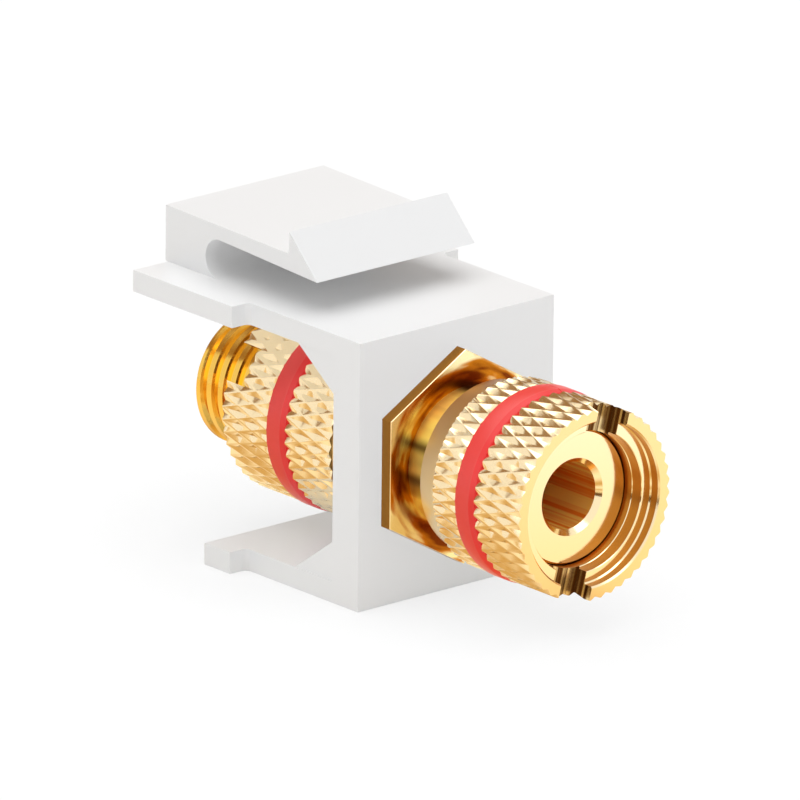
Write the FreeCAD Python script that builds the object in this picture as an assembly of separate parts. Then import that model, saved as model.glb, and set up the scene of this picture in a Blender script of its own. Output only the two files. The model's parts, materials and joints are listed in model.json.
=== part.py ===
import FreeCAD, Part
import math
import os

os.makedirs("parts", exist_ok=True)

# Millimetres, +Z up, the front of the insert faces -Y.
# The origin is where the post's axis crosses the insert's front face.

# Insert: one white moulding, open at both sides, that snaps into a wall plate
body_width = 14.6
body_height = 16.14
wall_thickness = 2.3
plate_thickness = 1.3
bottom_depth = 12.32
top_depth = 18.86
ear_reach = 1.24
ear_front = 9.86
ear_notch_radius = 0.35
ear_corner_radius = 0.3
gusset_length = 3.28
gusset_height = 2.36
gusset_thickness = 1.2
gusset_inset = 0.06

# Latch: a springy tongue that folds forward over the top plate
latch_width = 11.9
latch_rise = 3.38
tongue_fall = 0.24
nose_front = 5.42
nose_length = 2.5
nose_rise = 1.32
nose_lip = 0.3
slot_height = 2.42
slot_fall = 0.40
slot_end = 15.3

# Post: one turned brass stud with a hexagonal flange, threaded both ways
stud_radius = 4.0
stud_front = 10.15
stud_rear = 18.4
stud_chamfer = 0.25
flange_across_flats = 11.2
flange_thickness = 0.8
flange_bevel = 0.12
bevel_slope = 0.45  # a hexagon's bevel: its height over its width
collar_step = 0.27
collar_length = 1.8
shank_across_flats = 7.2
shank_clearance = 0.05
socket_radius = 2.0
socket_chamfer = 0.3
web_centre = 4.2
web_thickness = 1.4
wire_hole_radius = 1.25
wire_hole_setback = 1.3

# Every thread is a plain round with this clearance; the post's threads have a 1 mm pitch
thread_clearance = 0.05

# Nut on the inside of the insert's wall
nut_across_flats = 10.5
nut_thickness = 1.7
nut_bevel = 0.3

# Knurled caps, each with a coloured ring in a groove
crest_radius = 5.7
pit_radius = 5.51
diamond_count = 45
diamond_length = 2.6
rim_knurl_length = 3.9
front_knurl_length = 1.95
rear_knurl_length = 3.9
core_clearance = 0.02
band_groove_width = 1.65
band_groove_radius = 4.95
cap_gap_front = 0.1
cap_gap_rear = 0.2
cone_length = 1.85
cone_small_radius = 5.1
rear_end_length = 0.35
rear_end_radius = 5.3
collar_pocket_depth = 2.1
mouth_depth = 0.7
ledge_width = 0.7
ledge_depth = 1.35
ledge_step = 0.15
rim_bevel = 0.1
rim_slot_width = 2.4
rim_slot_depth = 1.4
front_slot_angle = 75.0
rear_slot_angle = 148.0

# Coloured rings: split so that they snap into the caps' grooves
band_clearance = 0.05
band_radius = 5.76
band_edge = 0.2
band_split_width = 0.08
front_split_angle = 80.0
rear_split_angle = 20.0

overshoot = 1.0  # how far a cutter reaches past what it cuts
tolerance = 1e-6

half_width = body_width / 2
half_height = body_height / 2
inner_height = half_height - plate_thickness
collar_front = -(flange_thickness + collar_length)
collar_radius = stud_radius + collar_step
bore_radius = stud_radius + thread_clearance
nut_rear = wall_thickness + nut_thickness
row_length = diamond_length / 2
axis_y = FreeCAD.Vector(0, 1, 0)
centre = FreeCAD.Vector(0, 0, 0)


def box(x0, y0, z0, x1, y1, z1):
    return Part.makeBox(x1 - x0, y1 - y0, z1 - z0, FreeCAD.Vector(x0, y0, z0))


def side_profile(points, x0, x1):
    """Extrude an outline in Y and Z from x0 to x1."""
    corners = [FreeCAD.Vector(x0, y, z) for y, z in points]
    outline = Part.makePolygon(corners + corners[:1])
    return Part.Face(outline).extrude(FreeCAD.Vector(x1 - x0, 0, 0))


def turned(points):
    """Turn an outline of (radius, y) about the post's axis."""
    corners = [FreeCAD.Vector(radius, y, 0) for radius, y in points]
    outline = Part.makePolygon(corners + corners[:1])
    return Part.Face(outline).revolve(centre, axis_y, 360)


def cylinder(radius, y0, y1):
    return Part.makeCylinder(radius, y1 - y0, FreeCAD.Vector(0, y0, 0), axis_y)


def hexagon(across_flats, y0, y1, bevel, rear):
    """A hexagonal prism with a point up, its corners turned back to a cone at one end."""
    corner = across_flats / math.sqrt(3)
    angles = [math.radians(90 + 60 * index) for index in range(6)]
    corners = [FreeCAD.Vector(corner * math.cos(a), y0, corner * math.sin(a)) for a in angles]
    prism = Part.Face(Part.makePolygon(corners + corners[:1])).extrude(FreeCAD.Vector(0, y1 - y0, 0))
    narrow = across_flats / 2 - bevel
    drop = (corner - narrow) * bevel_slope
    outline = [(0, y0), (narrow, y0), (corner, y0 + drop), (corner, y1), (0, y1)]
    if rear:
        outline = [(0, y0), (corner, y0), (corner, y1 - drop), (narrow, y1), (0, y1)]
    return prism.common(turned(outline))


def rounded(solid, radius, x, y):
    """Round the upright edges that stand at x and y, on both sides."""
    edges = []
    for edge in solid.Edges:
        places = [(abs(vertex.X), vertex.Y) for vertex in edge.Vertexes]
        if all(math.dist(place, (x, y)) < tolerance for place in places):
            edges.append(edge)
    return solid.makeFillet(radius, edges)


def plate(depth, z0, z1):
    """A plate of the moulding with an ear at each side of its rear end, rounded at its rear corner."""
    ear_side = half_width + ear_reach
    slab = box(-half_width, 0, z0, half_width, depth, z1)
    slab = slab.fuse(box(-ear_side, ear_front, z0, ear_side, depth, z1)).removeSplitter()

    slab = rounded(slab, ear_notch_radius, half_width, ear_front)
    return rounded(slab, ear_corner_radius, ear_side, depth)


def gusset(side, level):
    """A triangular rib in the corner of the wall and a plate, at one side."""
    outer = side * (half_width - gusset_inset)
    inner = side * (half_width - gusset_thickness)
    points = [
        (wall_thickness, level * inner_height),
        (wall_thickness + gusset_length, level * inner_height),
        (wall_thickness, level * (inner_height - gusset_height)),
    ]
    return side_profile(points, min(outer, inner), max(outer, inner))


def latch():
    """The riser, the tongue that runs forward from it and the wedge on its nose."""
    ground = half_height
    slot_radius = slot_height / 2
    slot_centre = slot_end - slot_radius
    nose_rear = nose_front + nose_length
    tongue_level = ground + latch_rise - tongue_fall
    lip_level = ground + slot_height - slot_fall

    def point(y, z):
        return FreeCAD.Vector(-latch_width / 2, y, z)

    corners = [
        point(slot_centre, ground),
        point(top_depth, ground),
        point(top_depth, ground + latch_rise),
        point(nose_rear, tongue_level),
        point(nose_rear, tongue_level + nose_rise),
        point(nose_front + nose_lip, lip_level + nose_lip),
        point(nose_front, lip_level),
        point(slot_centre, ground + slot_height),
    ]
    edges = [Part.LineSegment(a, b).toShape() for a, b in zip(corners, corners[1:])]
    slot_back = point(slot_end, ground + slot_radius)
    edges.append(Part.Arc(corners[-1], slot_back, corners[0]).toShape())
    return Part.Face(Part.Wire(edges)).extrude(FreeCAD.Vector(latch_width, 0, 0))


def shank_hole(clearance):
    """The post's way through the wall: a round with two flats that stop it turning."""
    flat = shank_across_flats / 2 + clearance
    reach = stud_radius + clearance
    round_hole = cylinder(reach, 0, wall_thickness)
    return round_hole.common(box(-flat, 0, -reach, flat, wall_thickness, reach))


def make_insert():
    ribs = [gusset(side, level) for side in (-1, 1) for level in (-1, 1)]
    wall = box(-half_width, 0, -half_height, half_width, wall_thickness, half_height)
    top = plate(top_depth, inner_height, half_height)
    bottom = plate(bottom_depth, -half_height, -inner_height)
    solid = wall.fuse([top, bottom, latch()] + ribs).removeSplitter()
    return solid.cut(shank_hole(shank_clearance))


def make_post():
    flange = hexagon(flange_across_flats, -flange_thickness, 0, flange_bevel, False)
    turned_body = turned([
        (0, -stud_front),
        (stud_radius - stud_chamfer, -stud_front),
        (stud_radius, -stud_front + stud_chamfer),
        (stud_radius, collar_front),
        (collar_radius, collar_front),
        (collar_radius, 0),
        (0, 0),
    ])
    rear_stud = turned([
        (0, wall_thickness),
        (stud_radius, wall_thickness),
        (stud_radius, stud_rear - stud_chamfer),
        (stud_radius - stud_chamfer, stud_rear),
        (0, stud_rear),
    ])
    solid = turned_body.fuse([flange, shank_hole(0), rear_stud]).removeSplitter()
    front_socket = turned([
        (0, -stud_front),
        (socket_radius + socket_chamfer, -stud_front),
        (socket_radius, -stud_front + socket_chamfer),
        (socket_radius, web_centre - web_thickness / 2),
        (0, web_centre - web_thickness / 2),
    ])
    rear_socket = turned([
        (0, web_centre + web_thickness / 2),
        (socket_radius, web_centre + web_thickness / 2),
        (socket_radius, stud_rear - socket_chamfer),
        (socket_radius + socket_chamfer, stud_rear),
        (0, stud_rear),
    ])
    solid = solid.cut([front_socket, rear_socket])
    wire_holes = []
    for y in (collar_front - wire_hole_setback, nut_rear + wire_hole_setback + cap_gap_rear):
        foot = FreeCAD.Vector(0, y, -stud_radius - overshoot)
        wire_holes.append(Part.makeCylinder(wire_hole_radius, 2 * (stud_radius + overshoot), foot))
    return solid.cut(wire_holes)


def make_nut():
    prism = hexagon(nut_across_flats, wall_thickness, nut_rear, nut_bevel, True)
    return prism.cut(cylinder(bore_radius, wall_thickness, nut_rear))


def knurl(y0, y1, phase):
    """A closed ring of ridges that cross in diamonds, each a pit of four flat faces.

    Pits stand in rows half a diamond apart, each row half a diamond round from the last.
    """
    turn_angle = 2 * math.pi / diamond_count
    rows = math.ceil((y1 - y0) / row_length - tolerance)

    def place(turn, row, radius):
        angle = (turn + phase) * turn_angle
        return FreeCAD.Vector(radius * math.cos(angle), y0 + row * row_length, radius * math.sin(angle))

    facets = []

    def facet(a, b, c):
        facets.append(Part.Face(Part.makePolygon([a, b, c, a])))

    for row in range(rows + 1):
        for diamond in range(diamond_count):
            turn = diamond + (row % 2) / 2
            pit = place(turn, row, pit_radius)
            left = place(turn - 0.5, row, crest_radius)
            right = place(turn + 0.5, row, crest_radius)
            if row > 0:
                before = place(turn, row - 1, crest_radius)
                facet(pit, left, before)
                facet(pit, before, right)
            if row < rows:
                after = place(turn, row + 1, crest_radius)
                facet(pit, after, left)
                facet(pit, right, after)
    for row in (0, rows):
        rim = []
        for diamond in range(diamond_count):
            turn = diamond + (row % 2) / 2
            rim.append(place(turn - 0.5, row, crest_radius))
            rim.append(place(turn, row, pit_radius))
        facets.append(Part.Face(Part.makePolygon(rim + rim[:1])))
    shell = Part.makeShell(facets)
    shell.sewShape()
    solid = Part.makeSolid(Part.Shell(shell.Faces))
    if solid.Volume < 0:
        solid = solid.reversed()
    return solid.common(cylinder(crest_radius + overshoot, y0, y1))


def rim_slots(rim, direction, angle):
    """Two slots across the cap's rim, opposite each other, open at the end."""
    floor = rim - direction * rim_slot_depth
    beyond = rim + direction * overshoot
    reach = crest_radius + overshoot
    half_slot = rim_slot_width / 2
    slot = box(-reach, min(beyond, floor), -half_slot, reach, max(beyond, floor), half_slot)
    slot.rotate(centre, axis_y, -angle)
    return slot


def make_cap(end_y, direction, inner_length, slot_angle, front):
    """A cap from its inner end at end_y outwards to its rim."""
    lead = cone_length if front else rear_end_length
    small = cone_small_radius if front else rear_end_radius
    knurl_start = end_y + direction * lead
    groove_start = knurl_start + direction * inner_length
    groove_end = groove_start + direction * band_groove_width
    rim = groove_end + direction * rim_knurl_length
    core_radius = pit_radius - core_clearance
    core = turned([
        (0, end_y),
        (small, end_y),
        (core_radius, knurl_start),
        (core_radius, groove_start),
        (band_groove_radius, groove_start),
        (band_groove_radius, groove_end),
        (core_radius, groove_end),
        (core_radius, rim),
        (0, rim),
    ])
    inner_ring = knurl(min(knurl_start, groove_start), max(knurl_start, groove_start), 0)
    outer_ring = knurl(min(groove_end, rim), max(groove_end, rim), 0.25)
    hollow = cylinder(band_groove_radius, min(end_y, rim) - overshoot, max(end_y, rim) + overshoot)
    solid = core.fuse([inner_ring.cut(hollow), outer_ring.cut(hollow)]).removeSplitter()
    way = [(0, end_y)]
    if front:
        pocket = collar_radius + 2 * thread_clearance
        pocket_end = end_y + direction * collar_pocket_depth
        way += [(pocket, end_y), (pocket, pocket_end), (bore_radius, pocket_end)]
    else:
        way.append((bore_radius, end_y))
    ledge = bore_radius + ledge_step
    way += [
        (bore_radius, rim - direction * ledge_depth),
        (ledge, rim - direction * ledge_depth),
        (ledge, rim - direction * mouth_depth),
        (ledge + ledge_width, rim - direction * mouth_depth),
        (ledge + ledge_width, rim - direction * rim_bevel),
        (ledge + ledge_width + rim_bevel, rim),
        (0, rim),
    ]
    solid = solid.cut(turned(way))
    return solid.cut(rim_slots(rim, direction, slot_angle)), groove_start, groove_end


def make_band(groove_start, groove_end, split_angle):
    """A ring with its outer corners turned off, and a fine split."""
    low = min(groove_start, groove_end) + band_clearance
    high = max(groove_start, groove_end) - band_clearance
    inner = band_groove_radius + band_clearance
    ring = turned([
        (inner, low),
        (band_radius - band_edge, low),
        (band_radius, low + band_edge),
        (band_radius, high - band_edge),
        (band_radius - band_edge, high),
        (inner, high),
    ])
    half_split = band_split_width / 2
    split = box(inner - overshoot, low, -half_split, band_radius + overshoot, high, half_split)
    split.rotate(centre, axis_y, -split_angle)
    return ring.cut(split)


front_end = collar_front - cap_gap_front
rear_end = nut_rear + cap_gap_rear
front_cap, front_start, front_stop = make_cap(front_end, -1, front_knurl_length, front_slot_angle, True)
rear_cap, rear_start, rear_stop = make_cap(rear_end, 1, rear_knurl_length, rear_slot_angle, False)

pieces = {
    "insert": make_insert(),
    "post": make_post(),
    "rear_nut": make_nut(),
    "front_cap": front_cap,
    "front_band": make_band(front_start, front_stop, front_split_angle),
    "rear_cap": rear_cap,
    "rear_band": make_band(rear_start, rear_stop, rear_split_angle),
}

for name, shape in pieces.items():
    if len(shape.Solids) == 1:
        shape = shape.Solids[0]
    print(name, len(shape.Solids), "solid", shape.isValid(), round(shape.Volume, 3), "mm3",
          len(shape.Faces), "faces")
    shape.exportStep("parts/" + name + ".step")
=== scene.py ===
import collections
import json
import math
import bpy
from mathutils import Matrix, Vector

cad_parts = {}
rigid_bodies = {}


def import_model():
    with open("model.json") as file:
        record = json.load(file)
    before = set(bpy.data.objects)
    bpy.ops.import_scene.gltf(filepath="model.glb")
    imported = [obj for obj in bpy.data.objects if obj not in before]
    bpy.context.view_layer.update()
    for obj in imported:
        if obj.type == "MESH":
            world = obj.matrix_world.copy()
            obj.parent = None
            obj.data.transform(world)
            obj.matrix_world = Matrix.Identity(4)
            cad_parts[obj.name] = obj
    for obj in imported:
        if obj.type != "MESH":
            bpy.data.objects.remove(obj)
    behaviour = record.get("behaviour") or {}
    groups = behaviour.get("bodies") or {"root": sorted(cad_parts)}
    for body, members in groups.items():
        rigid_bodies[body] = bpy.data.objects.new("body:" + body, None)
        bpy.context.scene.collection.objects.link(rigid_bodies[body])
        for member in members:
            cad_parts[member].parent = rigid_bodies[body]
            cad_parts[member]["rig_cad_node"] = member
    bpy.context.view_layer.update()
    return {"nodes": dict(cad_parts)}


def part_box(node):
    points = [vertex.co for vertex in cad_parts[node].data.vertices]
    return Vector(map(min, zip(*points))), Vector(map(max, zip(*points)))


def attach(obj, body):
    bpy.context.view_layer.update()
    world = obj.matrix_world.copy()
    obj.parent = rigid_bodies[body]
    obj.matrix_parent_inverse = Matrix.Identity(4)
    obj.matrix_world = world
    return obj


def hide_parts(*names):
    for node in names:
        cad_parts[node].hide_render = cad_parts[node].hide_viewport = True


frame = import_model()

mm = 0.001
weldGap = 0.002 * mm  # points nearer than this are one point
cutGap = 0.0001 * mm  # a cut leaves the points beside it alone
turnSteps = 180       # sides of a turned form: four to each knurl diamond
overshoot = 1.0       # mm that a cutter reaches past what it cuts
waveLength = 2 * math.pi / 20  # of a wave texture at scale 1
elementLists = {"VERT": "vertices", "EDGE": "edges", "FACE": "polygons"}


# Working in edit mode, as by hand

def activate(piece):
    if bpy.context.object and bpy.context.object.mode != "OBJECT":
        bpy.ops.object.mode_set(mode="OBJECT")
    bpy.ops.object.select_all(action="DESELECT")
    piece.select_set(True)
    bpy.context.view_layer.objects.active = piece
    return piece


def rename(name):
    piece = bpy.context.object
    piece.name = name
    piece.data.name = name
    return piece


def selectWhere(piece, part, test):
    # select the points, edges or faces that pass the test, and stay in edit mode
    activate(piece)
    bpy.ops.object.mode_set(mode="EDIT")
    bpy.ops.mesh.select_mode(type=part)
    bpy.ops.mesh.select_all(action="DESELECT")
    bpy.ops.object.mode_set(mode="OBJECT")
    for element in getattr(piece.data, elementLists[part]):
        element.select = test(element)
    bpy.ops.object.mode_set(mode="EDIT")


def edgeEnds(piece, edge):
    return [piece.data.vertices[index].co for index in edge.vertices]


def selectOpenRim(piece, level):
    # open edges that lie in one plane across the post
    uses = collections.Counter(key for face in piece.data.polygons for key in face.edge_keys)
    points = piece.data.vertices
    rim = {key for key, count in uses.items()
           if count == 1 and all(abs(points[index].co.y - level) < weldGap for index in key)}
    selectWhere(piece, "EDGE", lambda edge: edge.key in rim)


def finishMesh(piece, angle):
    # weld, point the faces outwards and smooth what turns by less than the angle
    activate(piece)
    bpy.ops.object.mode_set(mode="EDIT")
    bpy.ops.mesh.select_mode(type="VERT")
    bpy.ops.mesh.select_all(action="SELECT")
    bpy.ops.mesh.remove_doubles(threshold=weldGap)
    bpy.ops.mesh.normals_make_consistent(inside=False)
    bpy.ops.object.mode_set(mode="OBJECT")
    bpy.ops.object.shade_smooth_by_angle(angle=math.radians(angle))
    return piece


def settle(piece):
    # the piece's place goes into its mesh
    activate(piece)
    bpy.ops.object.transform_apply(location=True, rotation=True, scale=True)
    return piece


def applyModifiers(piece):
    activate(piece)
    for modifier in list(piece.modifiers):
        bpy.ops.object.modifier_apply(modifier=modifier.name)
    return piece


def joinPieces(first, others):
    activate(first)
    for other in others:
        other.select_set(True)
    bpy.ops.object.join()
    return first


def combine(piece, operation, tool):
    # a boolean with a tool piece, which is used up
    modifier = piece.modifiers.new(operation.lower(), "BOOLEAN")
    modifier.operation = operation
    modifier.solver = "EXACT"
    modifier.object = tool
    applyModifiers(piece)
    bpy.data.objects.remove(tool)
    return piece


def drawOutline(name, outline, start=0):
    # draw an outline point by point, (radius, y from the start) in mm, and stay in edit mode
    bpy.ops.object.select_all(action="DESELECT")
    bpy.ops.mesh.primitive_plane_add(size=mm)
    piece = rename(name)
    bpy.ops.object.mode_set(mode="EDIT")
    bpy.ops.mesh.select_mode(type="VERT")
    bpy.ops.mesh.select_all(action="SELECT")
    bpy.ops.mesh.merge(type="CENTER")
    bpy.ops.transform.translate(value=(outline[0][0] * mm, (start + outline[0][1]) * mm, 0))
    for (radius, y), (nextRadius, nextY) in zip(outline, outline[1:]):
        step = ((nextRadius - radius) * mm, (nextY - y) * mm, 0)
        bpy.ops.mesh.extrude_region_move(TRANSFORM_OT_translate={"value": step})
    return piece


def turnOutline(name, outline):
    # an outline of (radius, y) in mm, spun about the post's axis
    piece = drawOutline(name, outline)
    bpy.ops.mesh.select_all(action="SELECT")
    bpy.ops.mesh.spin(steps=turnSteps, angle=2 * math.pi, center=(0, 0, 0), axis=(0, 1, 0))
    bpy.ops.mesh.select_all(action="SELECT")
    bpy.ops.mesh.remove_doubles(threshold=weldGap)
    bpy.ops.mesh.normals_make_consistent(inside=False)
    bpy.ops.object.mode_set(mode="OBJECT")
    return piece


def turnedSlab(name, low, high, turn):
    # a cube primitive drawn out to two corners in mm, then turned about the post's axis by degrees
    centre = [(a + b) / 2 * mm for a, b in zip(low, high)]
    bpy.ops.object.select_all(action="DESELECT")
    bpy.ops.mesh.primitive_cube_add(size=1, location=centre)
    piece = rename(name)
    piece.scale = [(b - a) * mm for a, b in zip(low, high)]
    settle(piece)
    piece.rotation_euler = (0, -math.radians(turn), 0)
    return settle(piece)


# Stage and camera

stageSettings = {
    "cameraPlace": (-857.95, -989.90, 433.21),  # mm
    "azimuth": -40.774,
    "elevation": 18.174,
    "roll": 0.611,
    "lens": 1084.5,
    "sensor": 36.0,
    "clip": (0.01, 20.0),  # m
    "floorSize": 6000.0,
    "floorDrop": 0.01,
    "worldLight": 0.41,
    "floorGlow": 0.5,  # how much of the floor is plain white to the camera; the rest keeps the shadow
}

lampSettings = {
    # name: where it shines from, strength, softness in degrees, colour
    "softSun": ((-0.05, 0.05, 1.0), 1.98, 80.0, "#FFFFFF"),
    "frontFill": ((0.25, -1.0, -0.45), 0.23, 90.0, "#F4F8FF"),
}


def srgb(code):
    channels = [int(code[i:i + 2], 16) / 255 for i in (1, 3, 5)]
    linear = [c / 12.92 if c <= 0.04045 else ((c + 0.055) / 1.055) ** 2.4 for c in channels]
    return (*linear, 1.0)


def addNode(tree, kind, settings=None, links=None, values=None):
    # one node: its settings, the sockets it reads and the fixed values on its own sockets
    node = tree.nodes.new(kind)
    for key, value in (settings or {}).items():
        setattr(node, key, value)
    for key, value in (values or {}).items():
        node.inputs[key].default_value = value
    for key, source in (links or {}).items():
        tree.links.new(source, node.inputs[key])
    return node


def newMaterial(name):
    material = bpy.data.materials.new(name)
    material.use_nodes = True
    tree = material.node_tree
    tree.nodes.clear()
    output = addNode(tree, "ShaderNodeOutputMaterial")
    return material, tree, output


def makeCamera(settings):
    azimuth = math.radians(settings["azimuth"])
    elevation = math.radians(settings["elevation"])
    roll = math.radians(settings["roll"])
    back = Vector((
        math.sin(azimuth) * math.cos(elevation),
        -math.cos(azimuth) * math.cos(elevation),
        math.sin(elevation),
    ))
    right = Vector((math.cos(azimuth), math.sin(azimuth), 0))
    up = back.cross(right)
    tiltedRight = right * math.cos(roll) + up * math.sin(roll)
    tiltedUp = up * math.cos(roll) - right * math.sin(roll)
    data = bpy.data.cameras.new("camera")
    data.lens = settings["lens"]
    data.sensor_width = settings["sensor"]
    data.clip_start, data.clip_end = settings["clip"]
    camera = bpy.data.objects.new("camera", data)
    bpy.context.scene.collection.objects.link(camera)
    turn = Matrix((tiltedRight, tiltedUp, back)).transposed()
    camera.matrix_world = Matrix.Translation([c * mm for c in settings["cameraPlace"]]) @ turn.to_4x4()
    bpy.context.scene.camera = camera


def makeWorld(settings):
    # light on the object, and plain white wherever the camera, metal or glass sees the background
    world = bpy.data.worlds.new("studio")
    bpy.context.scene.world = world
    world.use_nodes = True
    tree = world.node_tree
    tree.nodes.clear()
    output = addNode(tree, "ShaderNodeOutputWorld")
    path = addNode(tree, "ShaderNodeLightPath")
    seen = addNode(tree, "ShaderNodeMath", {"operation": "MAXIMUM"},
                   {0: path.outputs["Is Camera Ray"], 1: path.outputs["Is Glossy Ray"]})
    seen = addNode(tree, "ShaderNodeMath", {"operation": "MAXIMUM"},
                   {0: seen.outputs[0], 1: path.outputs["Is Transmission Ray"]})
    light = addNode(tree, "ShaderNodeBackground",
                    values={"Color": srgb("#FFFFFF"), "Strength": settings["worldLight"]})
    backdrop = addNode(tree, "ShaderNodeBackground", values={"Color": srgb("#FFFFFF"), "Strength": 1.0})
    mixed = addNode(tree, "ShaderNodeMixShader",
                    links={0: seen.outputs[0], 1: light.outputs[0], 2: backdrop.outputs[0]})
    tree.links.new(mixed.outputs[0], output.inputs["Surface"])


def makeLamp(name, settings):
    place, strength, softness, colour = settings
    data = bpy.data.lights.new(name, "SUN")
    data.energy = strength
    data.angle = math.radians(softness)
    data.color = srgb(colour)[:3]
    lamp = bpy.data.objects.new(name, data)
    lamp.rotation_euler = Vector(place).to_track_quat("Z", "Y").to_euler()
    bpy.context.scene.collection.objects.link(lamp)


def makeFloor(settings):
    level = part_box("insert")[0].z - settings["floorDrop"] * mm
    bpy.ops.object.select_all(action="DESELECT")
    bpy.ops.mesh.primitive_plane_add(size=settings["floorSize"] * mm, location=(0, 0, level))
    floor = rename("studioFloor")
    material, tree, output = newMaterial("matte white paper floor")
    paper = addNode(tree, "ShaderNodeBsdfDiffuse", values={"Color": srgb("#FFFFFF")})
    glow = addNode(tree, "ShaderNodeEmission", values={"Color": srgb("#FFFFFF"), "Strength": 1.0})
    path = addNode(tree, "ShaderNodeLightPath")
    share = addNode(tree, "ShaderNodeMath", {"operation": "MULTIPLY"}, {0: path.outputs["Is Camera Ray"]},
                    {1: settings["floorGlow"]})
    mixed = addNode(tree, "ShaderNodeMixShader",
                    links={0: share.outputs[0], 1: paper.outputs[0], 2: glow.outputs[0]})
    tree.links.new(mixed.outputs[0], output.inputs["Surface"])
    floor.data.materials.append(material)


cardFade = (20, 50)  # mm from the object between which a card's first colour goes over into its second

cardSettings = {
    # name: place and aim in mm, width and height in mm, two colours, strength, spacing of stripes in mm
    "darkBack": ((40, 260, 90), (0, 5, 10), (420, 260), "#B08A60", "#B08A60", 0.8, 0),
    "softboxLeft": ((-330, 40, 110), (0, 0, 0), (260, 240), "#FFFFFF", "#FFFFFF", 1.9, 0),
    "stripesBelow": ((-20, 10, -7.98), (-20, 10, 100), (150, 130), "#D0A868", "#FFF6DC", 1.15, 9.0),
    "darkFrontLeft": ((-90, -92, -7.9), (-90, -92, 100), (116, 150), "#6A4820", "#6A4820", 1.0, 0),
    "brightFrontRight": ((90, -100, -7.9), (90, -100, 100), (170, 170), "#FFEBC8", "#FFFFFF", 1.25, 0),
}


def makeCard(name, settings):
    # a card that only reflections see: it shapes the gold and leaves the light on the plastic alone
    place, aim, size, near, far, strength, stripes = settings
    direction = Vector(aim) - Vector(place)
    bpy.ops.object.select_all(action="DESELECT")
    bpy.ops.mesh.primitive_plane_add(size=1)
    card = rename(name)
    card.scale = (size[0] * mm, size[1] * mm, 1)
    card.rotation_euler = direction.to_track_quat("Z", "Y").to_euler()
    card.location = Vector(place) * mm
    settle(card)
    material, tree, output = newMaterial("studio card " + name)
    spot = addNode(tree, "ShaderNodeTexCoord")
    if stripes:
        blend = addNode(tree, "ShaderNodeTexWave", {"bands_direction": "DIAGONAL"},
                        {"Vector": spot.outputs["Object"]}, {"Scale": waveLength / (stripes * mm)})
    else:
        reach = addNode(tree, "ShaderNodeVectorMath", {"operation": "LENGTH"}, {0: spot.outputs["Object"]})
        blend = addNode(tree, "ShaderNodeMapRange", links={"Value": reach.outputs["Value"]},
                        values={"From Min": cardFade[0] * mm, "From Max": cardFade[1] * mm})
    colour = addNode(tree, "ShaderNodeMixRGB", links={0: blend.outputs["Fac" if stripes else "Result"]},
                     values={1: srgb(near), 2: srgb(far)})
    glow = addNode(tree, "ShaderNodeEmission", links={"Color": colour.outputs[0]},
                   values={"Strength": strength})
    tree.links.new(glow.outputs[0], output.inputs["Surface"])
    card.data.materials.append(material)
    card.visible_camera = False
    card.visible_diffuse = False
    card.visible_shadow = False
    card.visible_transmission = False


# Plastics

plasticIor = 1.53        # ABS and nylon
grainDepth = 0.01 * mm   # of a finely blasted mould

plasticSettings = {
    # colour, roughness, and the grain's size in mm, detail and strength
    "white moulded ABS": ("#F4F4F4", 0.42, 0.12, 3.0, 0.08),
    "red moulded nylon": ("#F0362E", 0.35, 0.2, 2.0, 0.1),
    # painted shade: a deeper red copy of the nylon for the ring's front slope, where it catches less light
    "red moulded nylon, thin at the ring's edge": ("#F01208", 0.35, 0.2, 2.0, 0.1),
}


def mouldedPlastic(name):
    # injection moulded in a finely blasted mould: satin, with a very faint grain
    colour, roughness, size, detail, strength = plasticSettings[name]
    material, tree, output = newMaterial(name)
    place = addNode(tree, "ShaderNodeTexCoord")
    grain = addNode(tree, "ShaderNodeTexNoise", links={"Vector": place.outputs["Object"]},
                    values={"Scale": 1 / (size * mm), "Detail": detail})
    bump = addNode(tree, "ShaderNodeBump", links={"Height": grain.outputs["Fac"]},
                   values={"Strength": strength, "Distance": grainDepth})
    shader = addNode(tree, "ShaderNodeBsdfPrincipled", links={"Normal": bump.outputs["Normal"]},
                     values={"Base Color": srgb(colour), "Roughness": roughness, "IOR": plasticIor})
    tree.links.new(shader.outputs[0], output.inputs["Surface"])
    return material


# Gold plate

goldSettings = {
    # colour, roughness, and the spacing and depth in mm of the marks that the cutting tool left
    "bright gold plate on turned brass": ("#FFEABC", 0.10, 0.09, 0.0012),
    "bright gold plate on knurled brass": ("#FBE4B8", 0.16, 0.20, 0.0010),
    "satin gold plate on a faced rim": ("#FADB9C", 0.28, 0.06, 0.0012),
    # painted shade: the mouth wall's colour is darkened for the shade inside the cap's mouth
    "gold plate on a turned mouth wall, painted darker as shade": ("#BC8038", 0.30, 0.07, 0.0020),
    "bright gold plate on a screw thread": ("#F4C45C", 0.14, 0.12, 0.0014),
    # painted shade: the hexagon sides' colour is darkened for the shade they lie in
    "dull gold plate on milled hexagon sides": ("#A06C2C", 0.30, 0.25, 0.0020),
}

patternSettings = {
    # roughness, and the places and colours that the pattern runs through
    # the bore's amber streaks are painted reflection
    "rubbed gold plate in a reamed bore": (0.80, ((0.44, "#EA9026"), (0.58, "#F4D474"))),
    # the collar's bright and dark patches are a painted highlight and painted reflection
    "polished gold plate on the collar": (0.42, ((0.40, "#402008"), (0.56, "#FFEC84"))),
    # the flange's dark amber and bright tones are painted reflection
    "faced gold plate on the flange, with painted reflection": (0.26, ((0.36, "#7A3404"), (0.52, "#C87818"), (0.68, "#FFF0B8"))),
    # the slots' dark and light stripes are painted shade and highlight on real cutter marks
    "gold plate in the front cap's milled slots": (0.22, ((0.42, "#5A3410"), (0.60, "#F0D49C"))),
    "gold plate in the rear cap's milled slots": (0.22, ((0.42, "#5A3410"), (0.60, "#F0D49C"))),
}

# machining marks, and the places and sizes of painted reflection, highlight and shade
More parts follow.
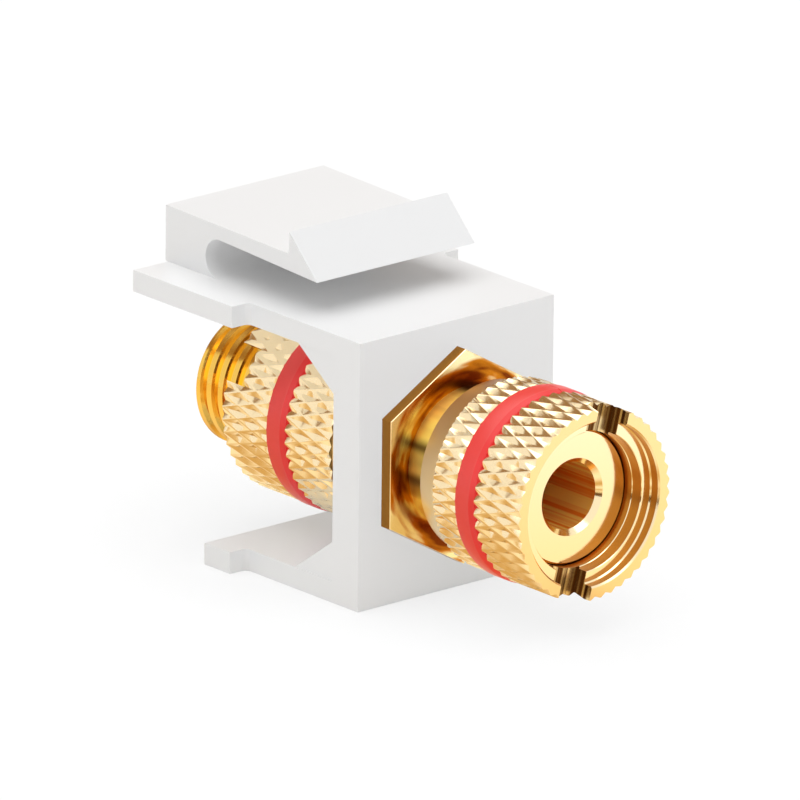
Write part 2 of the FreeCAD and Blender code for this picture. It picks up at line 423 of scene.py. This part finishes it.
marksAndPaintedLight = {
    "borePaintedStreakScale": 4.0,                # scale round the axis
    # the collar's painted reflection patches: their scale and turn
    "collarReflectionPatchScale": 2.4,              # scale round the axis
    "collarReflectionTurn": 40.0,                # degrees
    "flangeStreaks": 1.6,              # scale round the axis
    "flangeArcs": 0.8,                 # mm
    # the flange's pale corners are a painted highlight: where it starts and how strong
    "flangeHighlightRadii": (5.2, 6.2),       # mm from the axis
    "flangeCornerHighlight": (-0.03, 0.2),
    "slotStripes": 0.42,               # mm
    "coneShade": (-0.4, 0.9),          # heights, as shares of the cone's small radius
    # the cone's painted light and shade: pale below, browner above
    "coneColours": ("#FFE8B4", "#B07838"),
    "coneRoughness": 0.28,
}


def findSpot(tree):
    # where a point lies: across the post's axis, its distance from the axis, along it and its height
    place = addNode(tree, "ShaderNodeTexCoord")
    across = addNode(tree, "ShaderNodeVectorMath", {"operation": "MULTIPLY"}, {0: place.outputs["Object"]},
                     {1: (1, 0, 1)})
    radius = addNode(tree, "ShaderNodeVectorMath", {"operation": "LENGTH"}, {0: across.outputs["Vector"]})
    parts = addNode(tree, "ShaderNodeSeparateXYZ", links={0: place.outputs["Object"]})
    return {
        "across": across.outputs["Vector"],
        "radius": radius.outputs["Value"],
        "along": parts.outputs["Y"],
        "height": parts.outputs["Z"],
    }


def goldPlate(name):
    # bright metal with fine turning marks: they change with the distance from the axis and the place along it
    colour, roughness, spacing, depth = goldSettings[name]
    material, tree, output = newMaterial(name)
    spot = findSpot(tree)
    lathe = addNode(tree, "ShaderNodeCombineXYZ", links={"X": spot["radius"], "Y": spot["along"]})
    marks = addNode(tree, "ShaderNodeTexNoise", links={"Vector": lathe.outputs["Vector"]},
                    values={"Scale": 1 / (spacing * mm), "Detail": 3.0, "Roughness": 0.6})
    bump = addNode(tree, "ShaderNodeBump", links={"Height": marks.outputs["Fac"]},
                   values={"Strength": 1.0, "Distance": depth * mm})
    shader = addNode(tree, "ShaderNodeBsdfPrincipled", links={"Normal": bump.outputs["Normal"]},
                     values={"Base Color": srgb(colour), "Metallic": 1.0, "Roughness": roughness})
    tree.links.new(shader.outputs[0], output.inputs["Surface"])
    return material


def patternedGold(name, drawPattern):
    # gold plate whose colour follows a pattern: machining marks, with painted reflection and painted shade in
    # its tones
    roughness, stops = patternSettings[name]
    material, tree, output = newMaterial(name)
    pattern = drawPattern(tree, findSpot(tree))
    tone = addNode(tree, "ShaderNodeValToRGB", links={"Fac": pattern})
    for element, (place, colour) in zip(tone.color_ramp.elements, (stops[0], stops[-1])):
        element.position = place
        element.color = srgb(colour)
    for place, colour in stops[1:-1]:
        tone.color_ramp.elements.new(place).color = srgb(colour)
    shader = addNode(tree, "ShaderNodeBsdfPrincipled", links={"Base Color": tone.outputs["Color"]},
                     values={"Metallic": 1.0, "Roughness": roughness})
    tree.links.new(shader.outputs[0], output.inputs["Surface"])
    return material


def borePaintedStreaks(tree, spot):
    # painted reflection: amber streaks that stand in for the light bouncing deep in the bore; they change
    # round the axis only
    direction = addNode(tree, "ShaderNodeVectorMath", {"operation": "NORMALIZE"}, {0: spot["across"]})
    streaks = addNode(tree, "ShaderNodeTexNoise", links={"Vector": direction.outputs["Vector"]},
                      values={"Scale": marksAndPaintedLight["borePaintedStreakScale"], "Detail": 2.5, "Roughness": 0.6})
    return streaks.outputs["Fac"]


def collarPaintedReflection(tree, spot):
    # painted reflection: a bright highlight and dark patches on the polished collar, stretched along the axis
    # and turned round it to set where they fall
    direction = addNode(tree, "ShaderNodeVectorMath", {"operation": "NORMALIZE"}, {0: spot["across"]})
    turned = addNode(tree, "ShaderNodeVectorRotate", {"rotation_type": "Y_AXIS"},
                     {"Vector": direction.outputs["Vector"]},
                     {"Angle": math.radians(marksAndPaintedLight["collarReflectionTurn"])})
    patches = addNode(tree, "ShaderNodeTexNoise", links={"Vector": turned.outputs["Vector"]},
                      values={"Scale": marksAndPaintedLight["collarReflectionPatchScale"], "Detail": 1.0})
    return patches.outputs["Fac"]


def flangeArcsAndPaintedReflection(tree, spot):
    # arcs round the collar as the lathe faced it; their dark amber and bright tones are painted reflection of
    # the cap beside it, and the pale corners a painted highlight
    near, far = marksAndPaintedLight["flangeHighlightRadii"]
    least, most = marksAndPaintedLight["flangeCornerHighlight"]
    direction = addNode(tree, "ShaderNodeVectorMath", {"operation": "NORMALIZE"}, {0: spot["across"]})
    spread = addNode(tree, "ShaderNodeVectorMath", {"operation": "SCALE"}, {0: direction.outputs["Vector"]},
                     {"Scale": marksAndPaintedLight["flangeStreaks"]})
    rings = addNode(tree, "ShaderNodeMath", {"operation": "MULTIPLY"}, {0: spot["radius"]},
                    {1: 1 / (marksAndPaintedLight["flangeArcs"] * mm)})
    outward = addNode(tree, "ShaderNodeCombineXYZ", links={"Y": rings.outputs[0]})
    arcs = addNode(tree, "ShaderNodeVectorMath", {"operation": "ADD"},
                   {0: spread.outputs["Vector"], 1: outward.outputs["Vector"]})
    streaks = addNode(tree, "ShaderNodeTexNoise", links={"Vector": arcs.outputs["Vector"]},
                      values={"Scale": 1.0, "Detail": 2.5, "Roughness": 0.5})
    corners = addNode(tree, "ShaderNodeMapRange", links={"Value": spot["radius"]},
                      values={"From Min": near * mm, "From Max": far * mm, "To Min": least, "To Max": most})
    level = addNode(tree, "ShaderNodeMath", {"operation": "ADD"},
                    {0: streaks.outputs["Fac"], 1: corners.outputs["Result"]})
    return level.outputs[0]


def slotMarksAndPaintedShade(own):
    def draw(tree, spot):
        # the cutter's marks run along the slot; their dark and light stripes are painted shade and painted
        # highlight
        turned = addNode(tree, "ShaderNodeVectorRotate", {"rotation_type": "Y_AXIS"},
                         {"Vector": spot["across"]}, {"Angle": math.radians(own["slotAngle"])})
        parts = addNode(tree, "ShaderNodeSeparateXYZ", links={"Vector": turned.outputs["Vector"]})
        depth = addNode(tree, "ShaderNodeCombineXYZ", links={"X": parts.outputs["Z"], "Y": spot["along"]})
        stripes = addNode(tree, "ShaderNodeTexNoise", links={"Vector": depth.outputs["Vector"]},
                          values={"Scale": 1 / (marksAndPaintedLight["slotStripes"] * mm), "Detail": 2.0})
        return stripes.outputs["Fac"]

    return draw


def goldConePaintedLight(own):
    # painted light and shade: the cone's tones stand in for how the light falls on it
    # satin gold plate on the front cap's cone: pale below, and browner towards the top as the photo has it
    low, high = (share * own["leadRadius"] * mm for share in marksAndPaintedLight["coneShade"])
    below, above = marksAndPaintedLight["coneColours"]
    material, tree, output = newMaterial("satin gold plate on a turned cone")
    height = addNode(tree, "ShaderNodeMapRange", links={"Value": findSpot(tree)["height"]},
                     values={"From Min": low, "From Max": high})
    tone = addNode(tree, "ShaderNodeMixRGB", links={0: height.outputs["Result"]},
                   values={1: srgb(below), 2: srgb(above)})
    shader = addNode(tree, "ShaderNodeBsdfPrincipled", links={"Base Color": tone.outputs[0]},
                     values={"Metallic": 1.0, "Roughness": marksAndPaintedLight["coneRoughness"]})
    tree.links.new(shader.outputs[0], output.inputs["Surface"])
    return material


# Insert

insertSettings = {
    "edgeRadius": 0.07,
    "edgeSegments": 2,
    "sharpAngle": 25,   # degrees, as the two below
    "flatAngle": 1,
    "smoothAngle": 60,
}


def makeInsert(settings):
    # a copy of the solid's own mesh: flat faces made whole again, edges eased as a mould leaves them
    activate(frame["nodes"]["insert"])
    bpy.ops.object.duplicate()
    piece = rename("insertMoulding")
    piece.parent = None
    del piece["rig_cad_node"]
    bpy.ops.object.mode_set(mode="EDIT")
    bpy.ops.mesh.select_mode(type="VERT")
    bpy.ops.mesh.select_all(action="SELECT")
    bpy.ops.mesh.remove_doubles(threshold=weldGap)
    bpy.ops.mesh.dissolve_limited(angle_limit=math.radians(settings["flatAngle"]))
    bpy.ops.mesh.normals_make_consistent(inside=False)
    bpy.ops.object.mode_set(mode="OBJECT")
    easing = piece.modifiers.new("easing", "BEVEL")
    easing.width = settings["edgeRadius"] * mm
    easing.segments = settings["edgeSegments"]
    easing.limit_method = "ANGLE"
    easing.angle_limit = math.radians(settings["sharpAngle"])
    easing.use_clamp_overlap = True
    applyModifiers(piece)
    bpy.ops.object.shade_smooth_by_angle(angle=math.radians(settings["smoothAngle"]))
    weights = piece.modifiers.new("weights", "WEIGHTED_NORMAL")
    weights.keep_sharp = True
    return applyModifiers(piece)


# Post

postSettings = {
    "studRadius": 4.0,
    "studFront": -10.15,
    "studRear": 18.4,
    "endBevel": 0.12,
    "rearBevel": 0.06,
    "threadPitch": 1.0,
    "threadDepth": 0.42,
    "threadSteps": 72,
    # one pitch of the thread: crest or root, and how far along the pitch
    "threadOutline": (("crest", 0), ("crest", 0.42), ("root", 0.66), ("root", 0.76), ("crest", 1.0)),
    "threadSmoothAngle": 30,
    "spareTurns": 2,           # cut off again at the thread's ends
    "frontThreadStart": 0.45,  # behind the stud's front end
    "frontRootStart": 0.8,     # behind the stud's front end
    "frontThreadGap": 0.3,     # in front of the collar
    "rearThreadGap": 0.2,      # behind the wall
    "coreInset": 0.02,         # the core ends just inside the rear thread's end
    "envelopeReach": 0.4,
    "flangeAcrossFlats": 11.2,
    "flangeThickness": 0.8,
    "flangeBevel": 0.07,
    "flangeBevelSegments": 2,
    "collarRadius": 4.27,
    "collarFront": -2.6,
    "collarBevel": 0.06,
    "wallThickness": 2.3,
    "socketRadius": 2.0,
    "socketBevel": 0.3,
    "webFront": 3.5,
    "webRear": 4.9,
    "wireHoleRadius": 1.25,
    "wireHolePlaces": (-3.9, 5.5),
    "wireHoleSides": 64,
    "smoothAngle": 32,
}


def makeThread(name, settings, low, high):
    # one pitch of the thread's outline, swept into a right-hand screw and cut flat at both ends
    pitch = settings["threadPitch"]
    radii = {"crest": settings["studRadius"], "root": settings["studRadius"] - settings["threadDepth"]}
    start = low - settings["spareTurns"] * pitch
    outline = [(radii[part], y * pitch) for part, y in settings["threadOutline"]]
    piece = drawOutline(name, outline, start)
    bpy.ops.object.mode_set(mode="OBJECT")
    screw = piece.modifiers.new("screw", "SCREW")
    screw.axis = "Y"
    screw.angle = 2 * math.pi
    screw.screw_offset = pitch * mm
    screw.iterations = math.ceil((high - start) / pitch) + settings["spareTurns"]
    screw.steps = settings["threadSteps"]
    screw.render_steps = settings["threadSteps"]
    applyModifiers(piece)
    finishMesh(piece, settings["threadSmoothAngle"])
    bpy.ops.object.mode_set(mode="EDIT")
    for level, side in ((low, -1), (high, 1)):
        bpy.ops.mesh.select_all(action="SELECT")
        bpy.ops.mesh.bisect(plane_co=(0, level * mm, 0), plane_no=(0, side, 0), clear_outer=True,
                            use_fill=True, threshold=cutGap)
    bpy.ops.object.mode_set(mode="OBJECT")
    return piece


def makeHexagon(name, acrossFlats, low, high):
    # a hexagonal prism along the post, with a corner up
    bpy.ops.object.select_all(action="DESELECT")
    bpy.ops.mesh.primitive_cylinder_add(vertices=6, radius=acrossFlats / math.sqrt(3) * mm,
                                        depth=(high - low) * mm, location=(0, (low + high) / 2 * mm, 0),
                                        rotation=(math.pi / 2, 0, 0))
    return settle(rename(name))


def makePost(settings):
    radius, bevel = settings["studRadius"], settings["endBevel"]
    front, rear = settings["studFront"], settings["studRear"]
    collar, collarFront = settings["collarRadius"], settings["collarFront"]
    thickness, wall = settings["flangeThickness"], settings["wallThickness"]
    root = radius - settings["threadDepth"]
    threadStart = front + settings["frontThreadStart"]
    coreEnd = rear - settings["coreInset"]
    body = turnOutline("postTurned", [
        (0, front),
        (radius - bevel, front),
        (radius, front + bevel),
        (radius, threadStart),
        (root, front + settings["frontRootStart"]),
        (root, collarFront),
        (collar - settings["collarBevel"], collarFront),
        (collar, collarFront + settings["collarBevel"]),
        (collar, -thickness / 2),
        (radius, -thickness / 2),
        (radius, wall),
        (root, wall),
        (root, coreEnd),
        (0, coreEnd),
    ])
    flange = makeHexagon("postFlange", settings["flangeAcrossFlats"], -thickness, 0)
    selectWhere(flange, "EDGE",
                lambda edge: all(point.y < -thickness * mm + weldGap for point in edgeEnds(flange, edge)))
    bpy.ops.mesh.bevel(offset=settings["flangeBevel"] * mm, segments=settings["flangeBevelSegments"])
    bpy.ops.object.mode_set(mode="OBJECT")
    combine(body, "UNION", flange)
    combine(body, "UNION",
            makeThread("frontThread", settings, threadStart, collarFront - settings["frontThreadGap"]))
    rearThread = makeThread("rearThread", settings, wall + settings["rearThreadGap"], rear)
    reach, chamfer = radius + settings["envelopeReach"], settings["rearBevel"]
    envelope = turnOutline("rearEnvelope", [
        (0, wall),
        (reach, wall),
        (reach, rear - chamfer - (reach - radius)),
        (radius - chamfer, rear),
        (0, rear),
    ])
    combine(rearThread, "INTERSECT", envelope)
    combine(body, "UNION", rearThread)
    socket, cut = settings["socketRadius"], settings["socketBevel"]
    combine(body, "DIFFERENCE", turnOutline("frontSocket", [
        (0, front - overshoot),
        (socket + cut + overshoot, front - overshoot),
        (socket, front + cut),
        (socket, settings["webFront"]),
        (0, settings["webFront"]),
    ]))
    combine(body, "DIFFERENCE", turnOutline("rearSocket", [
        (0, settings["webRear"]),
        (socket, settings["webRear"]),
        (socket, rear - cut),
        (socket + cut + overshoot, rear + overshoot),
        (0, rear + overshoot),
    ]))
    for y in settings["wireHolePlaces"]:
        bpy.ops.object.select_all(action="DESELECT")
        bpy.ops.mesh.primitive_cylinder_add(vertices=settings["wireHoleSides"],
                                            radius=settings["wireHoleRadius"] * mm,
                                            depth=4 * radius * mm, location=(0, y * mm, 0))
        combine(body, "DIFFERENCE", settle(rename("wireHole")))
    body.name = "postDressed"
    return finishMesh(body, settings["smoothAngle"])


postTests = {
    # limits of the tests below: places in mm, and how far a face may look along the post, where 1 is wholly
    "boreMargin": 0.03,
    "boreFacing": 0.6,
    "hexagonShare": 0.9,
    "hexagonFacing": 0.1,
    "flangeMargin": 0.05,
    "flangeFacing": 0.5,
    "collarMargin": 0.1,
    "collarFacing": 0.8,
    "threadRadius": 3.5,
    "threadFacing": 0.95,
}


def fromAxis(face):
    return math.hypot(face.center.x, face.center.z)


def inBore(face):
    inside = fromAxis(face) < (postSettings["socketRadius"] + postTests["boreMargin"]) * mm
    return inside and abs(face.normal.y) < postTests["boreFacing"]


def onHexagonSide(face):
    hexagonal = fromAxis(face) > postTests["hexagonShare"] * postSettings["flangeAcrossFlats"] / 2 * mm
    return hexagonal and abs(face.normal.y) < postTests["hexagonFacing"]


def onFlangeFace(face):
    offset = abs(face.center.y + postSettings["flangeThickness"] * mm)
    return offset < postTests["flangeMargin"] * mm and face.normal.y < -postTests["flangeFacing"]


def onCollar(face):
    before = -postSettings["flangeThickness"] * mm > face.center.y > postSettings["collarFront"] * mm
    outside = fromAxis(face) > (postSettings["collarRadius"] - postTests["collarMargin"]) * mm
    return before and outside and abs(face.normal.y) < postTests["collarFacing"]


def onRearThread(face):
    behind = face.center.y > (postSettings["wallThickness"] + postSettings["rearThreadGap"]) * mm
    outside = fromAxis(face) > postTests["threadRadius"] * mm
    return behind and outside and abs(face.normal.y) < postTests["threadFacing"]


# Nut inside the insert

nutSettings = {
    "acrossFlats": 10.5,
    "front": 2.3,
    "rear": 4.0,
    "bore": 4.05,
    "smoothAngle": 30,
}


def makeNut(settings):
    front, rear, bore = settings["front"], settings["rear"], settings["bore"]
    piece = makeHexagon("nutDressed", settings["acrossFlats"], front, rear)
    combine(piece, "DIFFERENCE", turnOutline("nutBore", [
        (0, front - overshoot),
        (bore, front - overshoot),
        (bore, rear + overshoot),
        (0, rear + overshoot),
    ]))
    return finishMesh(piece, settings["smoothAngle"])


# Knurled caps

knurlSettings = {
    "diamonds": 45,
    "diamondLength": 2.6,
    "crest": 5.73,
    "pit": 5.51,
    "core": 5.4,
    "ridgeWidth": 0.1,
    "ridgeSegments": 4,
    "spareRows": 3,  # cut off again at the knurl's ends
}

frontCapSettings = {
    "end": -2.7,
    "direction": -1,
    "lead": 1.85,
    "leadRadius": 5.1,
    "knurlLength": 1.95,
    "slotAngle": 75.0,
    "pocketRadius": 4.37,
    "pocketDepth": 2.1,
}

rearCapSettings = {
    "end": 4.2,
    "direction": 1,
    "lead": 0.35,
    "leadRadius": 5.3,
    "knurlLength": 3.9,
    "slotAngle": 148.0,
    "pocketRadius": 4.05,
    "pocketDepth": 0.1,
}

capSettings = {
    "bore": 4.05,
    "rimKnurlLength": 3.9,
    "grooveWidth": 1.65,
    "grooveRadius": 4.95,
    "mouthRadius": 4.9,
    "mouthDepth": 0.7,
    "ledgeRadius": 4.2,
    "ledgeDepth": 1.35,
    "leadBevel": 0.1,
    "rimBevel": 0.1,
    "fineBevel": 0.04,
    "slotWidth": 2.4,
    "slotDepth": 1.4,
    "slotReach": 8.0,
    "smoothAngle": 24,
}


def makeKnurl(name, start, stop, settings):
    # one diamond pit, copied round and along, bent into a tube and cut flat at both ends
    count, crest = settings["diamonds"], settings["crest"] * mm
    width = 2 * math.pi * crest / count
    rowLength = settings["diamondLength"] / 2 * mm
    bpy.ops.object.select_all(action="DESELECT")
    bpy.ops.mesh.primitive_circle_add(vertices=4, radius=1, fill_type="TRIFAN", rotation=(0, math.pi / 2, 0))
    piece = settle(rename(name))
    piece.scale = (1, rowLength, width / 2)
    settle(piece)
    selectWhere(piece, "VERT", lambda point: point.co.length < weldGap)
    bpy.ops.transform.translate(value=((settings["crest"] - settings["pit"]) * mm, 0, 0))
    bpy.ops.object.mode_set(mode="OBJECT")
    around = piece.modifiers.new("around", "ARRAY")
    around.count = count
    around.use_relative_offset = False
    around.use_constant_offset = True
    around.constant_offset_displace = (0, 0, width)
    along = piece.modifiers.new("along", "ARRAY")
    along.count = math.ceil((stop - start) * mm / rowLength) + settings["spareRows"]
    along.use_relative_offset = False
    along.use_constant_offset = True
    along.constant_offset_displace = (0, rowLength, width / 2)
    applyModifiers(piece)
    heights = [point.co.z for point in piece.data.vertices]
    bend = piece.modifiers.new("bend", "SIMPLE_DEFORM")
    bend.deform_method = "BEND"
    bend.deform_axis = "Y"
    bend.angle = (max(heights) - min(heights)) / crest
    applyModifiers(piece)
    piece.location = (-crest, start * mm - rowLength, 0)
    settle(piece)
    bpy.ops.object.mode_set(mode="EDIT")
    bpy.ops.mesh.select_all(action="SELECT")
    bpy.ops.mesh.remove_doubles(threshold=weldGap)
    ridge = (settings["pit"] + settings["crest"]) / 2 * mm
    selectWhere(piece, "EDGE",
                lambda edge: all(math.hypot(point.x, point.z) > ridge for point in edgeEnds(piece, edge)))
    bpy.ops.mesh.bevel(offset=settings["ridgeWidth"] * mm, segments=settings["ridgeSegments"])
    for level, side in ((start * mm, -1), (stop * mm, 1)):
        bpy.ops.mesh.select_all(action="SELECT")
        bpy.ops.mesh.bisect(plane_co=(0, level, 0), plane_no=(0, side, 0), clear_outer=True,
                            threshold=cutGap)
    bpy.ops.object.mode_set(mode="OBJECT")
    return piece


def makeCap(name, own, shared, knurl):
    # a cap from its inner end outwards to its rim, and the two sides of its ring groove
    end, direction = own["end"], own["direction"]
    knurlStart = end + direction * own["lead"]
    grooveStart = knurlStart + direction * own["knurlLength"]
    grooveEnd = grooveStart + direction * shared["grooveWidth"]
    rim = grooveEnd + direction * shared["rimKnurlLength"]
    core, bore = knurl["core"], shared["bore"]
    mouthRadius, ledgeRadius, fine = shared["mouthRadius"], shared["ledgeRadius"], shared["fineBevel"]
    ledge = rim - direction * shared["mouthDepth"]
    step = rim - direction * shared["ledgeDepth"]
    mouth = [
        (mouthRadius + shared["rimBevel"], rim),
        (mouthRadius, rim - direction * shared["rimBevel"]),
        (mouthRadius, ledge + direction * 2 * fine),
        (mouthRadius - 2 * fine, ledge),
        (ledgeRadius + fine, ledge),
        (ledgeRadius, ledge - direction * fine),
        (ledgeRadius, step),
        (bore + fine, step),
        (bore, step - direction * fine),
    ]
    pocketEnd = end + direction * own["pocketDepth"]
    inner = [
        (core, knurlStart),
        (own["leadRadius"], end + direction * shared["leadBevel"]),
        (own["leadRadius"] - shared["leadBevel"], end),
        (own["pocketRadius"], end),
        (own["pocketRadius"], pocketEnd),
        (bore, pocketEnd),
        (bore, mouth[-1][1]),
    ]
    piece = turnOutline(name, inner + mouth[::-1] + [(core, rim)])
    groove = turnOutline("groove", [
        (core, grooveStart),
        (shared["grooveRadius"], grooveStart),
        (shared["grooveRadius"], grooveEnd),
        (core, grooveEnd),
    ])
    innerKnurl = makeKnurl("innerKnurl", *sorted((knurlStart, grooveStart)), knurl)
    rimKnurl = makeKnurl("rimKnurl", *sorted((grooveEnd, rim)), knurl)
    joinPieces(piece, [groove, innerKnurl, rimKnurl])
    for level in (knurlStart, grooveStart, grooveEnd, rim):
        selectOpenRim(piece, level * mm)
        bpy.ops.mesh.fill(use_beauty=True)
        bpy.ops.object.mode_set(mode="OBJECT")
    finishMesh(piece, shared["smoothAngle"])
    low, high = sorted((rim - direction * shared["slotDepth"], rim + direction * overshoot))
    reach, half = shared["slotReach"], shared["slotWidth"] / 2
    combine(piece, "DIFFERENCE",
            turnedSlab("rimSlot", (-reach, low, -half), (reach, high, half), own["slotAngle"]))
    return finishMesh(piece, shared["smoothAngle"]), sorted((grooveStart, grooveEnd))


capTests = {
    # limits of the tests below, as for the post
    "endFacing": 0.9,
    "wallFacing": 0.5,
    "coneEnd": -4.5,
    "coneRadius": 4.5,
}


def onRim(face):
    return fromAxis(face) > capSettings["mouthRadius"] * mm and abs(face.normal.y) > capTests["endFacing"]


def inMouth(face):
    return fromAxis(face) < capSettings["mouthRadius"] * mm


def onMouthWall(face):
    return inMouth(face) and abs(face.normal.y) < capTests["wallFacing"]


def onCone(face):
    return 0 > face.center.y > capTests["coneEnd"] * mm and fromAxis(face) > capTests["coneRadius"] * mm


def inSlot(own, groove):
    # a test for the walls and floor of a cap's two slots
    turn = math.radians(own["slotAngle"])
    half = capSettings["slotWidth"] / 2 * mm
    grooveEnd = groove[0] if own["direction"] < 0 else groove[1]
    level = grooveEnd + own["direction"] * (capSettings["rimKnurlLength"] - capSettings["slotDepth"])

    def test(face):
        across = abs(face.center.z * math.cos(turn) - face.center.x * math.sin(turn))
        facing = abs(face.normal.z * math.cos(turn) - face.normal.x * math.sin(turn))
        onWall = facing > capTests["endFacing"] and abs(across - half) < weldGap
        onLevel = across < half and abs(face.center.y - level * mm) < weldGap
        return onWall or (onLevel and abs(face.normal.y) > capTests["endFacing"])

    return test


# Coloured rings

bandSettings = {
    "clearance": 0.03,
    "radius": 5.76,
    "edge": 0.12,
    "edgeSteps": 8,
    "frontSlope": 0.42,
    "frontDrop": 0.14,
    "slopeRise": 0.02,
    "softening": 0.04,
    "innerRadius": 5.0,
    "splitWidth": 0.07,
    "frontSplit": 80,  # degrees round the post
    "rearSplit": 20,
    "smoothAngle": 15,
}


def makeBand(name, groove, splitAngle, settings):
    low, high = groove[0] + settings["clearance"], groove[1] - settings["clearance"]
    inner, radius, edge = settings["innerRadius"], settings["radius"], settings["edge"]
    slope, drop, soft = settings["frontSlope"], settings["frontDrop"], settings["softening"]
    outline = [
        (inner, low),
        (radius - drop - soft, low),
        (radius - drop, low + soft),
        (radius - settings["slopeRise"], low + slope - soft),
        (radius, low + slope + soft),
    ]
    for step in range(settings["edgeSteps"] + 1):
        turn = math.radians(90 * step / settings["edgeSteps"])
        outline.append((radius - edge + edge * math.cos(turn), high - edge + edge * math.sin(turn)))
    outline += [(inner, high), (inner, low)]
    piece = turnOutline(name, outline)
    half = settings["splitWidth"] / 2
    combine(piece, "DIFFERENCE", turnedSlab("split", (inner - overshoot, low - overshoot, -half),
                                            (radius + overshoot, high + overshoot, half), splitAngle))
    return finishMesh(piece, settings["smoothAngle"])


# the ring's front slope, which takes the painted shade
def onFrontSlope(groove):
    return lambda face: face.center.y < (groove[0] + bandSettings["frontSlope"]) * mm


# Making it all

def dress(piece, node, body, materials):
    # the first material covers the piece; each further one comes with a test of its faces
    piece.data.materials.clear()
    piece.data.materials.append(materials[0])
    for face in piece.data.polygons:
        face.material_index = 0
    for index, (material, test) in enumerate(materials[1:], 1):
        piece.data.materials.append(material)
        selectWhere(piece, "FACE", test)
        piece.active_material_index = index
        bpy.ops.object.material_slot_assign()
        bpy.ops.object.mode_set(mode="OBJECT")
    # the photo's white plastic takes no colour from the gold beside it
    piece.visible_diffuse = node == "insert"
    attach(piece, body)
    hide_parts(node)
    print("made", piece.name, len(piece.data.polygons), "faces")


makeCamera(stageSettings)
makeWorld(stageSettings)
for lampName, lamp in lampSettings.items():
    makeLamp(lampName, lamp)
makeFloor(stageSettings)
for cardName, card in cardSettings.items():
    makeCard(cardName, card)
print("made the stage")

white, red, redPaintedShade = [mouldedPlastic(name) for name in plasticSettings]
brightGold, knurlGold, rimGold, wallGoldPaintedShade, threadGold, sideGoldPaintedShade = [goldPlate(name) for name in goldSettings]
boreGoldPaintedReflection = patternedGold("rubbed gold plate in a reamed bore", borePaintedStreaks)
collarGoldPaintedReflection = patternedGold("polished gold plate on the collar", collarPaintedReflection)
flangeGoldPaintedReflection = patternedGold("faced gold plate on the flange, with painted reflection", flangeArcsAndPaintedReflection)
frontSlotGoldPaintedShade = patternedGold("gold plate in the front cap's milled slots", slotMarksAndPaintedShade(frontCapSettings))
rearSlotGoldPaintedShade = patternedGold("gold plate in the rear cap's milled slots", slotMarksAndPaintedShade(rearCapSettings))
coneGoldPaintedLight = goldConePaintedLight(frontCapSettings)
print("made the materials")

insert = makeInsert(insertSettings)
dress(insert, "insert", "insert_and_post", [white])

post = makePost(postSettings)
dress(post, "post", "insert_and_post",
      [brightGold, (boreGoldPaintedReflection, inBore), (threadGold, onRearThread), (flangeGoldPaintedReflection, onFlangeFace),
       (sideGoldPaintedShade, onHexagonSide), (collarGoldPaintedReflection, onCollar)])

nut = makeNut(nutSettings)
dress(nut, "rear_nut", "insert_and_post", [brightGold])

frontCap, frontGroove = makeCap("frontCapKnurled", frontCapSettings, capSettings, knurlSettings)
dress(frontCap, "front_cap", "front_screw_cap",
      [knurlGold, (rimGold, onRim), (coneGoldPaintedLight, onCone), (brightGold, inMouth), (wallGoldPaintedShade, onMouthWall),
       (frontSlotGoldPaintedShade, inSlot(frontCapSettings, frontGroove))])
rearCap, rearGroove = makeCap("rearCapKnurled", rearCapSettings, capSettings, knurlSettings)
dress(rearCap, "rear_cap", "rear_screw_cap",
      [knurlGold, (rimGold, onRim), (brightGold, inMouth), (wallGoldPaintedShade, onMouthWall),
       (rearSlotGoldPaintedShade, inSlot(rearCapSettings, rearGroove))])

frontBand = makeBand("frontRing", frontGroove, bandSettings["frontSplit"], bandSettings)
dress(frontBand, "front_band", "front_ring", [red, (redPaintedShade, onFrontSlope(frontGroove))])
rearBand = makeBand("rearRing", rearGroove, bandSettings["rearSplit"], bandSettings)
dress(rearBand, "rear_band", "rear_ring", [red, (redPaintedShade, onFrontSlope(rearGroove))])

bpy.context.scene.view_settings.view_transform = "Standard"
